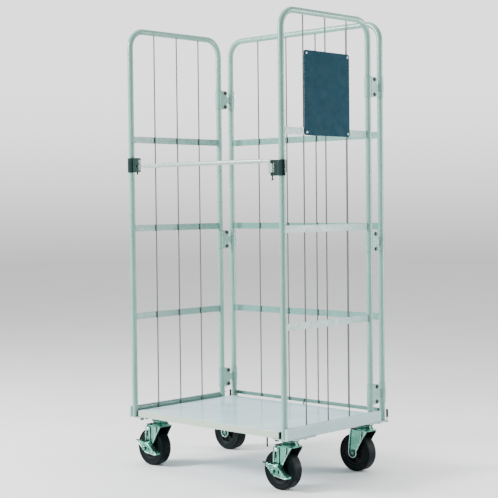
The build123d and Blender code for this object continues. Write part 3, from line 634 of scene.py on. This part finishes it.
def add_welds():
    for side in ("left", "right"):
        add_frame_welds(side, f"{side}_side", 1, 0)
    add_frame_welds("back", "back_frame", 0, 1)


# ---------------------------------------------------------------- casters
CASTERS = [f"{end}_{side}" for end in ("front", "rear") for side in ("left", "right")]
ALONG_Y = (0, 1, 0)
UPWARDS = (0, 0, 1)
TRAIL = 0.035
# The sizes below are in millimetres, and heights are from the floor.
AXLE_BORE = 5.05
AXLE_RADIUS = 4.95
LEG_TOP = 157.0
LEG_END = 19.3
LEG_RIM = 2.6
CROWN_TOP = 160.1
SEAL_END = 47.5
SEAL_ROUND = 33.5
RIBS = 6
RIB_THICK = 3.2
LOWER_RACE = [(31.0, 161.0), (32.6, 162.0), (33.0, 164.5), (32.0, 167.0), (30.0, 168.0), (29.0, 164.0)]
UPPER_RACE = [(28.5, 176.5), (32.2, 177.0), (33.4, 179.5), (33.0, 182.0), (31.0, 184.0), (29.0, 182.0)]
WASHER = [(5.0, 0), (11.6, 0), (12.2, 0.6), (11.4, 1.4), (5.0, 1.4)]


def arc(middle_r, middle_a, radius, first, last, steps=6):
    """Points of a rounding, as (radius, along), between two angles in degrees."""
    points = []
    for n in range(steps + 1):
        angle = math.radians(first + (last - first) * n / steps)
        points.append((middle_r + radius * math.cos(angle), middle_a + radius * math.sin(angle)))
    return points


def tyre_outline(outer, half, core):
    """Crowned tread, round shoulders and a moulded ring on each sidewall."""
    shoulder = 4.5
    near = [(core, half - 3.0), (core + 3, half - 2.2), (core + 5, half - 0.9), (core + 7, half - 0.9)]
    near += [(core + 8.2, half - 2.0), (outer - 11, half - 1.2), (outer - 8.5, half - 0.1)]
    near += arc(outer - shoulder - 0.5, half - shoulder, shoulder, 90, 8)
    near += [(outer - 0.15, half * 0.45), (outer, 0)]
    return near + [(r, -a) for r, a in reversed(near[:-1])]


def core_outline(bore, half, core):
    """Hub, dished web and rim of the moulded wheel centre."""
    near = [(bore, half + 1.8), (9.5, half + 1.8), (10.2, half + 1.0), (13.2, half + 1.0)]
    near += [(15.2, half - 2), (16.5, half - 9.5), (core - 9, half - 10.5), (core - 6.5, half - 6)]
    near += [(core - 5.0, half - 3.1), (core - 0.1, half - 3.1)]
    return near + [(r, -a) for r, a in reversed(near)]


def web_ribs(centre, half, core):
    """Ribs from hub to rim, on both faces of the web."""
    outline = [(15, half - 12), (core - 6, half - 12), (core - 7, half - 6), (17, half - 3)]
    ribs = []
    for face in (-1, 1):
        for n in range(RIBS):
            angle = math.radians(360 / RIBS * n + 15)
            out = Vector((math.cos(angle), 0, math.sin(angle)))
            flank = Vector((-math.sin(angle), 0, math.cos(angle)))

            def place(u, v, w, out=out, flank=flank, face=face):
                forward = Vector((0, face, 0))
                beside = flank * ((w - RIB_THICK / 2) * MM)
                return centre + out * (u * MM) + beside + forward * (v * MM)

            ribs.append(pressed(outline, place, RIB_THICK))
    return ribs


def add_wheels():
    for caster in CASTERS:
        low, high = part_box(f"{caster}_tyre")
        centre = (Vector(low) + Vector(high)) / 2
        outer = (high[2] - low[2]) / 2 / MM
        half = (high[1] - low[1]) / 2 / MM
        core = (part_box(f"{caster}_wheel_core")[1][2] - centre.z) / MM
        body = f"{caster}_wheel"
        rubber = turned(tyre_outline(outer, half, core), centre, ALONG_Y, 96)
        make_piece(f"{caster}_tread", *rubber, body, "tyre_rubber", stands_for=[f"{caster}_tyre"])
        hub = [turned(core_outline(AXLE_BORE, half, core), centre, ALONG_Y)]
        hub += web_ribs(centre, half, core)
        make_piece(
            f"{caster}_hub", *joined(hub), body, "wheel_core", stands_for=[f"{caster}_wheel_core"]
        )


class Fork:
    """Where one caster's fork stands, from its CAD nodes. Its legs are near and far along Y."""

    def __init__(self, caster):
        low, high = (Vector(corner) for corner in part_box(f"{caster}_fork"))
        self.near, self.far = low.y, high.y
        self.middle_y = (low.y + high.y) / 2
        self.half_out = (high.y - low.y) / 2 / MM
        self.axle = middle_of(f"{caster}_wheel_core")
        self.swivel_x = self.axle.x + TRAIL


def leg_rim(fork, level, face):
    """The bent rim of a pressed leg: down its left edge, round the axle and up its right edge.
    A rib runs from the crown to the right edge."""
    x, z = fork.axle.x / MM, fork.axle.z / MM
    top = fork.swivel_x / MM
    path = [(top - 45.5, LEG_TOP), (x - LEG_END, z + 8)]
    path += [
        (x + LEG_END * math.cos(math.radians(a)), z + LEG_END * math.sin(math.radians(a)))
        for a in range(180, 381, 20)
    ]
    path.append((top + 30.5, LEG_TOP))
    rib = [(top + 6, LEG_TOP), (top + 4.5, z + 62), (x + 35, z + 46)]

    def place(u, v, w):
        return Vector((u * MM, level + face * w * MM, v * MM))

    return [strip(path, LEG_RIM, place, 3.4), strip(rib, LEG_RIM, place, 2.4)]


def add_leg_rims(caster, fork):
    rims = leg_rim(fork, fork.near, -1) + leg_rim(fork, fork.far, 1)
    # The rims are in the paler zinc: painted highlight.
    make_piece(
        f"{caster}_leg_rims", *joined(rims), f"{caster}_swivel", "zinc_rim",
        bevel=0.0006, slot="zinc_plate",
    )


def add_far_leg_shade_plate(caster, fork):
    """A near-black plate inside the far leg, above the wheel: painted shade inside the fork."""

    def beside_far_leg(u, v, w):
        return Vector((fork.swivel_x + u * MM, fork.far - 0.0034 - w * MM, v * MM))

    guard = [(-36, 156.5), (-27, 121), (-11, 102), (8, 118), (32, 150), (32, 156.5)]
    make_piece(
        f"{caster}_far_leg_shade_plate", *pressed(guard, beside_far_leg, 2.0), f"{caster}_swivel", "nylon",
        bevel=0.0006,
    )


def add_race_lips(caster, fork):
    """The lips of the swivel bearing. The lower one turns with the fork."""
    foot = (fork.swivel_x, fork.middle_y, 0)
    lower, upper = turned(LOWER_RACE, foot, UPWARDS), turned(UPPER_RACE, foot, UPWARDS)
    make_piece(f"{caster}_lower_race_lip", *lower, f"{caster}_swivel", "zinc_plate")
    side = caster.split("_")[1]
    make_piece(f"{caster}_upper_race_lip", *upper, f"{side}_side", "zinc_plate")


def add_crown_shade_strip(caster, fork):
    """A dark rubber strip on the crown's open end, cut round where it meets the bearing: painted shade under
    the swivel plate.
    """

    def on_crown(u, v, w):
        return Vector((fork.swivel_x + u * MM, fork.middle_y + v * MM, (CROWN_TOP + w) * MM))

    wide = fork.half_out - 0.4
    lean = math.asin(wide / SEAL_ROUND)
    angles = [lean * k / 6 for k in range(-6, 7)]
    seal = [(-SEAL_END, -wide)]
    seal += [(-SEAL_ROUND * math.cos(a), SEAL_ROUND * math.sin(a)) for a in angles]
    seal.append((-SEAL_END, wide))
    make_piece(
        f"{caster}_crown_shade_strip", *pressed(seal, on_crown, 3.6), f"{caster}_swivel", "sleeve_rubber",
        bevel=0.001,
    )


def stub(centre, face, radius, tall, chamfer, steps):
    """A short shaft or a nut that faces along Y, with a chamfered end."""
    outline = [(0, 0), (radius, 0), (radius, tall - 1), (radius - chamfer, tall), (0, tall)]
    return lathe(outline, centre, (0, face, 0), steps)


def nut(centre, face):
    """The hexagon of an axle nut or bolt head."""
    return stub(centre, face, radius=8.6, tall=5.5, chamfer=1.6, steps=6)


def add_axle(caster, fork):
    """A washer on each leg, and the axle as a bolt with a hexagon at each end."""
    body = f"{caster}_swivel"
    x, z = fork.axle.x, fork.axle.z
    to_front = [(r, -a) for r, a in WASHER]
    rings = [turned(WASHER, (x, fork.far, z), ALONG_Y, 48), turned(to_front, (x, fork.near, z), ALONG_Y, 48)]
    make_piece(f"{caster}_axle_washers", *joined(rings), body, "dark_bolt")
    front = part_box(f"{caster}_axle")[0][1]
    length = (fork.far - front) / MM + 1
    shaft = [(0, 0), (AXLE_RADIUS, 0), (AXLE_RADIUS, length), (0, length)]
    bolt = [
        lathe(shaft, (x, front + 0.0055, z), ALONG_Y, 32),
        nut((x, front + 0.006, z), -1),
        nut((x, fork.far + 0.0014, z), 1),
        stub((x, fork.far + 0.001, z), 1, radius=4.8, tall=8, chamfer=1, steps=32),
    ]
    make_piece(f"{caster}_axle_bolt", *joined(bolt), body, "zinc_plate", stands_for=[f"{caster}_axle"])


def add_forks():
    for caster in CASTERS:
        fork = Fork(caster)
        add_leg_rims(caster, fork)
        add_far_leg_shade_plate(caster, fork)
        add_race_lips(caster, fork)
        add_crown_shade_strip(caster, fork)
        add_axle(caster, fork)


# ---------------------------------------------------------------- brakes
def add_pedal(caster):
    """The pressed ridges of a brake pedal and its rubber tip."""
    body = f"{caster}_brake"
    axle = middle_of(f"{caster}_wheel_core")
    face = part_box(f"{caster}_brake_pedal")[0][1]

    def at(u, v, forward=0.0):
        return Vector((axle.x + u * MM, face - forward * MM, axle.z + v * MM))

    def ridge(places, radius):
        return rod([at(u, v) for u, v in places], radius, ALONG_Y)

    oval = [
        (-19 + 9 * math.cos(a), 17 + 4.5 * math.sin(a) - 2 * math.cos(a))
        for a in (2 * math.pi * k / 20 for k in range(21))
    ]
    pressings = [
        ridge([(2, 20.5), (15, 18), (27, 11), (39, 0), (52, -11.5)], 0.0017),
        ridge([(40, -9), (48, -15)], 0.0014),
        ridge([(30, -17), (54, -20), (65, -17.5)], 0.0024),
        ridge([(-32, 18.5), (-8, -4), (7, -15), (28, -17.5)], 0.0014),
        ridge(oval, 0.0011),
    ]
    # The pressings are in the paler zinc: painted highlight.
    make_piece(f"{caster}_pedal_pressings", *joined(pressings), body, "zinc_rim", slot="zinc_plate")
    tip = rod([at(-56, 25, -9), at(-38, 25, -9)], 0.0026, ALONG_Y)
    make_piece(f"{caster}_pedal_tip", *tip, body, "sleeve_rubber")


def add_strap_pressing(caster):
    """A hump and two edge ridges on the strap that carries the pedal."""
    low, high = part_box(f"{caster}_brake_strap")
    x = (low[0] + high[0]) / 2
    face, bottom, top = low[1], low[2], high[2]
    pressings = [blob((x, face, top - 0.010), (0.0125, 0.0042, 0.0080), 9, 20)]
    for side in (-1, 1):
        edge = x + side * 0.0128
        pressings.append(rod([(edge, face, bottom + 0.004), (edge, face, top - 0.006)], 0.0013, ALONG_Y))
    # The strap pressing is in the paler zinc: painted highlight.
    make_piece(
        f"{caster}_strap_pressing", *joined(pressings), f"{caster}_swivel", "zinc_rim",
        slot="zinc_plate",
    )


def add_brakes():
    for caster in ("front_left", "front_right"):
        add_pedal(caster)
        add_strap_pressing(caster)


# ---------------------------------------------------------------- clamps, deck and base
def add_clamps():
    """The wire spring and the nub of the catch that holds the bar."""
    low, high = (Vector(corner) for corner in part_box("left_bar_catch"))
    middle = (low + high) / 2
    ear = high.x
    hook_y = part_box("left_tube")[0][1] + 0.0075

    def hook(points):
        places = [Vector((ear + u * MM, hook_y, middle.z + v * MM)) for u, v in points]
        return rod(places, 0.0017, ALONG_Y)

    upper = hook([(-17, 19), (-9, 19.5), (-2, 15), (1.6, 8), (2.2, 2.5)])
    lower = hook([(2.2, -13), (-1, -17), (-8, -19.5), (-16, -19.5)])
    make_piece("left_catch_spring", *joined([upper, lower]), "left_side", "bar_paint")
    outline = [(0, 0), (3.6, 0), (3.4, -4), (1.8, -10), (0, -11)]
    nub = lathe(outline, (ear - 0.014, middle.y, low.z), UPWARDS, 28)
    make_piece("left_catch_nub", *nub, "left_side", "clamp_plastic")


def add_base():
    """The washers and bolt heads under both ends of each base beam."""
    washer = [(0, 0), (9.0, 0), (9.0, -1.4), (0, -1.4)]
    head = [(0, -1.4), (7.6, -1.4), (7.6, -6.0), (6.0, -7.2), (0, -7.2)]
    for side, sign in (("left", -1), ("right", 1)):
        low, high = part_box(f"{side}_base_beam")
        inner = low[0] if sign > 0 else high[0]
        bolts = []
        for y in (low[1] + 0.012, high[1] - 0.040):
            foot = (inner + sign * 0.010, y, low[2])
            bolts += [lathe(washer, foot, UPWARDS, 40), lathe(head, foot, UPWARDS, 6)]
        make_piece(f"{side}_beam_end_bolts", *joined(bolts), f"{side}_side", "dark_bolt")


def add_deck_end_shade_blocks():
    """A dark rubber block at the front corner of each end of the deck: painted shade in the gap between deck
    and post.
    """
    low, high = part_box("deck_tray")
    wide, tall, inset, thick = 17, 21, 1.5, 4.5
    blocks = []
    for x, outward in ((low[0], -1), (high[0], 1)):

        def place(u, v, w, x=x, outward=outward):
            return Vector((x + outward * w * MM, low[1] + (inset + u) * MM, low[2] + (inset + v) * MM))

        blocks.append(pressed([(0, 0), (wide, 0), (wide, tall), (0, tall)], place, thick))
    make_piece("deck_end_shade_blocks", *joined(blocks), "deck", "sleeve_rubber", bevel=0.0012)


add_camera()
paint_cad()
add_welds()
add_wheels()
add_forks()
add_brakes()
add_clamps()
add_base()
add_deck_end_shade_blocks()
add_floor()
add_backdrop()
add_light()
